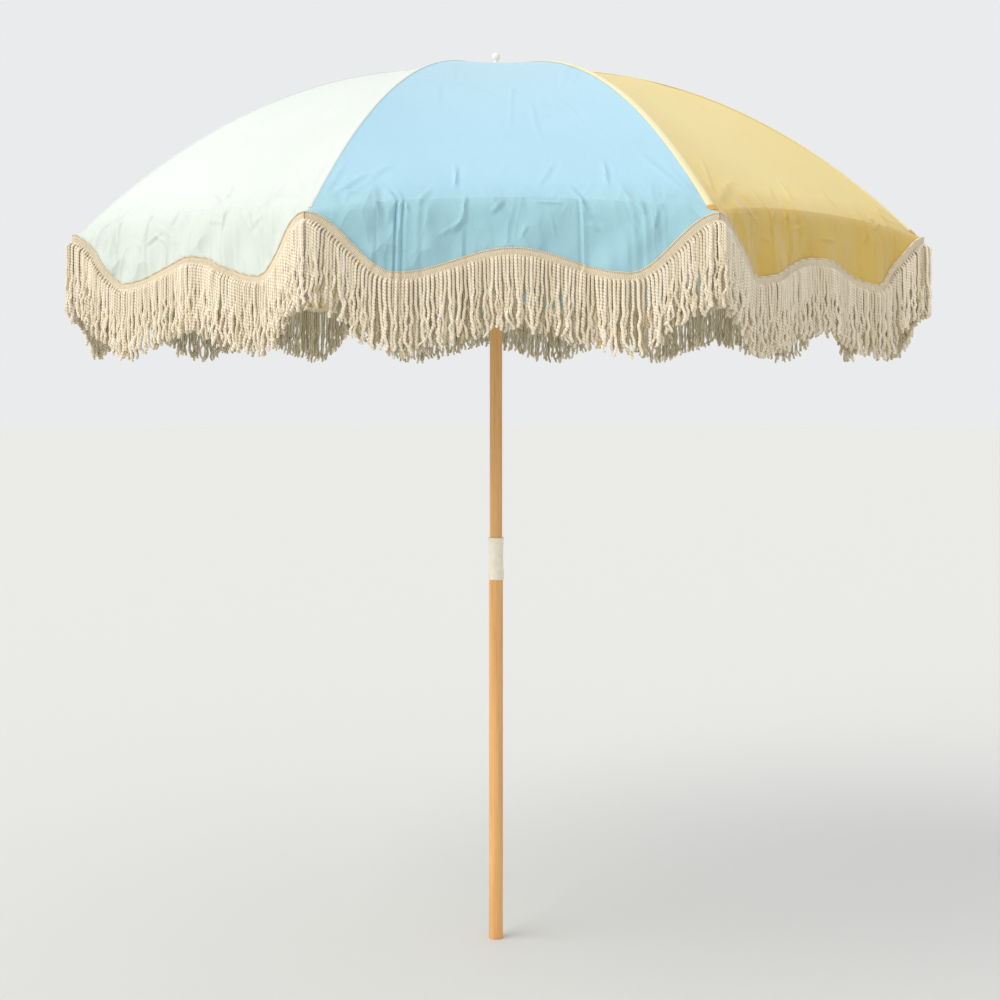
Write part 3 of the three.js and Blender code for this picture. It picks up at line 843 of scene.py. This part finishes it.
def add_binding(rib, inner, half_width, material):
    """The folded tape over the seam above a rib, and the flat tape behind the same seam."""
    start, stop = (0.022, FLEX_R) if inner else (FLEX_R, HEM_R - 0.002)
    r = graded(start, stop, SEAM_ROWS)[:, None]
    places = np.array([place for place, _ in BINDING_SECTION])[None, :]
    heights = np.array([height for _, height in BINDING_SECTION])[None, :]
    vertices, quads, uvs = [], [], []
    for half, height in ((half_width, heights), (BACKING, -BACKING_DEPTH + 0 * heights)):
        points = along_rib(rib, r, places * half, height)
        uv = np.stack(np.broadcast_arrays(places * half, r), axis=-1)
        sheet = shell(points, uv, BINDING_THICK)
        quads.append(sheet[1] + sum(len(v) for v in vertices))
        vertices.append(sheet[0])
        uvs.append(sheet[2])
    part = "top" if inner else "skirt"
    piece = make_piece(f"seam_binding_{part}_{rib}", np.concatenate(vertices), np.concatenate(quads),
                       material, np.concatenate(uvs))
    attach(piece, f"rib_{rib}" if inner else f"rib_{rib}_outer")


def add_corner_tab(rib, material):
    """A stitched pocket over the rib's end, where the corner of the canopy is held."""
    rows = np.linspace(0, 1, 12)
    columns = np.linspace(-1, 1, 13)
    rows, columns = np.broadcast_arrays(rows[:, None], columns[None, :])
    r = HEM_R - 0.009 + 0.010 * rows
    across = columns * 0.0105 * (1 - 0.12 * rows)
    stitch = 0.0003 * np.cos(2 * np.pi * rows * 5) * (np.abs(columns) > 0.7)
    points = along_rib(rib, r, across, 0.0023 - 0.0008 * columns ** 4 + stitch)
    vertices, quads, both = shell(points, np.stack([across, r], axis=-1), 0.0009)
    piece = make_piece(f"corner_tab_{rib}", vertices, quads, material, both)
    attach(piece, f"rib_{rib}_outer")


# ---------------------------------------------------------------- pole and fittings
def add_turned_pieces(materials):
    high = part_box("lower_pole")[1]
    radius = high[0]
    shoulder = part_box("pole_coupling")[0][2] - GAP
    lower = lathe("pole_lower", [
        (0, 0), (radius - 0.0018, 0), (radius - 0.0005, 0.0004), (radius, 0.0018), (radius, 0.30),
        (radius, 0.60), (radius, shoulder), (LOWER_TENON_R, shoulder), (LOWER_TENON_R, high[2]),
        (0, high[2]),
    ], materials["wood"])
    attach(lower, "lower_pole")
    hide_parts("lower_pole")

    bottom, top = (c[2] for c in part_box("pole_coupling"))
    bore = COUPLING_BORE_R
    outline = [
        (bore, 0), (0.0188, 0), (0.0194, 0.0006), (0.0195, 0.0016), (0.0195, 0.0062), (0.0191, 0.0072),
        (0.0190, 0.0078), (0.0194, 0.0088), (0.0193, 0.0130), (0.0188, 0.0200), (0.0182, 0.0270),
        (0.0178, 0.0340), (0.0176, 0.0420), (0.0176, 0.0640), (0.0177, 0.0760), (0.0179, 0.0820),
        (0.0183, 0.0850), (0.0187, 0.0862), (0.0188, 0.0880), (0.0186, 0.0896), (0.0183, 0.0906),
        (0.0184, 0.0920), (0.0189, 0.0936), (0.0194, 0.0946), (0.0195, 0.0962), (0.0195, 0.1006),
        (0.0192, 0.1016), (0.0186, COUPLING_LENGTH), (bore, COUPLING_LENGTH), (bore, 0),
    ]
    scale = (top - bottom) / COUPLING_LENGTH
    coupling = lathe("coupling", [(r, bottom + z * scale) for r, z in outline], materials["ivory"])
    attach(coupling, "lower_pole")
    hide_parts("pole_coupling")


def add_upper_pole(material):
    low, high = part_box("upper_pole")
    radius = high[0]
    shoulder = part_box("crown")[0][2] - GAP
    catch_low, catch_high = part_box("runner_catch")
    upper = lathe("pole_upper", [
        (0, low[2]), (radius - 0.001, low[2]), (radius, low[2] + 0.001), (radius, 1.2), (radius, 1.6),
        (radius, shoulder), (UPPER_TENON_R, shoulder), (UPPER_TENON_R, high[2]), (0, high[2]),
    ], material)
    pocket = lathe("pocket_cutter", [(0, 0), (0.0044, 0), (0.0044, 0.03), (0, 0.03)], material, 32)
    pocket.rotation_euler = (0, math.pi / 2, 0)
    pocket.location = (0.0018, 0, (catch_low[2] + catch_high[2]) / 2)
    cut = upper.modifiers.new("pocket", "BOOLEAN")
    cut.operation = "DIFFERENCE"
    cut.object = pocket
    bpy.context.view_layer.update()
    graph = bpy.context.evaluated_depsgraph_get()
    carved = bpy.data.meshes.new_from_object(upper.evaluated_get(graph), depsgraph=graph)
    upper.modifiers.clear()
    upper.data = carved
    bpy.data.objects.remove(pocket)
    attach(upper, "upper_pole")
    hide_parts("upper_pole")


def add_top(materials):
    low, high = (Vector(c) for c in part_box("top_washer"))
    disc = lathe("washer", [
        (0.0043, low.z), (0.0200, low.z), (0.0208, low.z + 0.0004), (0.0206, low.z + 0.0009),
        (0.0170, high.z - 0.0003), (0.0150, high.z), (0.0043, high.z), (0.0043, low.z),
    ], materials["hub"])
    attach(disc, "upper_pole")
    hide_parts("top_washer")
    base, crest = high.z + GAP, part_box("finial")[1][2]
    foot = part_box("finial")[0][2]
    neck, ball = 0.006, 0.0105
    outline = [(0, foot), (0.004, foot), (0.004, base), (0.0114, base), (0.0119, base + 0.0005),
               (0.0119, base + 0.0040), (0.0113, base + 0.0052), (0.0085, base + 0.0066),
               (0.0068, base + 0.0090), (neck, base + 0.0130), (neck, crest - 0.0215)]
    first = -math.acos(neck / ball)
    for k in range(17):
        turn = first + k / 16 * (math.pi / 2 - first)
        outline.append((ball * math.cos(turn) if k < 16 else 0, crest - ball + ball * math.sin(turn)))
    knob = lathe("finial_knob", outline, materials["hub"], 48)
    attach(knob, "upper_pole")
    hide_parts("finial")


def finish_cad_nodes(materials):
    """Gives the frame's own pieces, which keep their CAD shape, their materials."""
    choice = {"crown": "hub", "runner": "hub", "crown_wire": "steel", "runner_wire": "steel",
              "runner_catch": "steel"}
    for rib in range(1, RIBS + 1):
        choice[f"rib_{rib}_inner"] = "steel"
        choice[f"rib_{rib}_outer"] = "steel"
        choice[f"stretcher_{rib}"] = "steel"
        choice[f"rib_{rib}_tip"] = "dark"
    for node, kind in choice.items():
        for slot in bpy.data.objects[node].material_slots:
            slot.material = materials[kind]


# ---------------------------------------------------------------- everything
def build():
    add_camera()
    add_stage()
    materials = make_materials()
    for number, rib, sign in halves():
        cloth = materials[PANEL_COLOURS[number]]
        add_half_panel(number, rib, sign, True, cloth)
        add_half_panel(number, rib, sign, False, cloth)
        add_half_valance(number, rib, sign, cloth)
        add_header(number, rib, sign, materials["tape"])
        add_fringe(number, rib, sign, materials["cord"])
    for rib in range(1, RIBS + 1):
        beside = {PANEL_COLOURS[rib - 1], PANEL_COLOURS[rib - 2]}
        straw = YELLOW in beside
        kind, slot, half_width = WHITE, "cloth_white", WHITE_BINDING
        if straw:
            kind, slot, half_width = "straw", "cloth_yellow", STRAW_BINDING
            add_corner_tab(rib, materials["tab"])
        add_binding(rib, True, half_width, materials[kind])
        add_binding(rib, False, half_width, materials[kind])
    add_turned_pieces(materials)
    add_upper_pole(materials["wood"])
    add_top(materials)
    finish_cad_nodes(materials)


build()
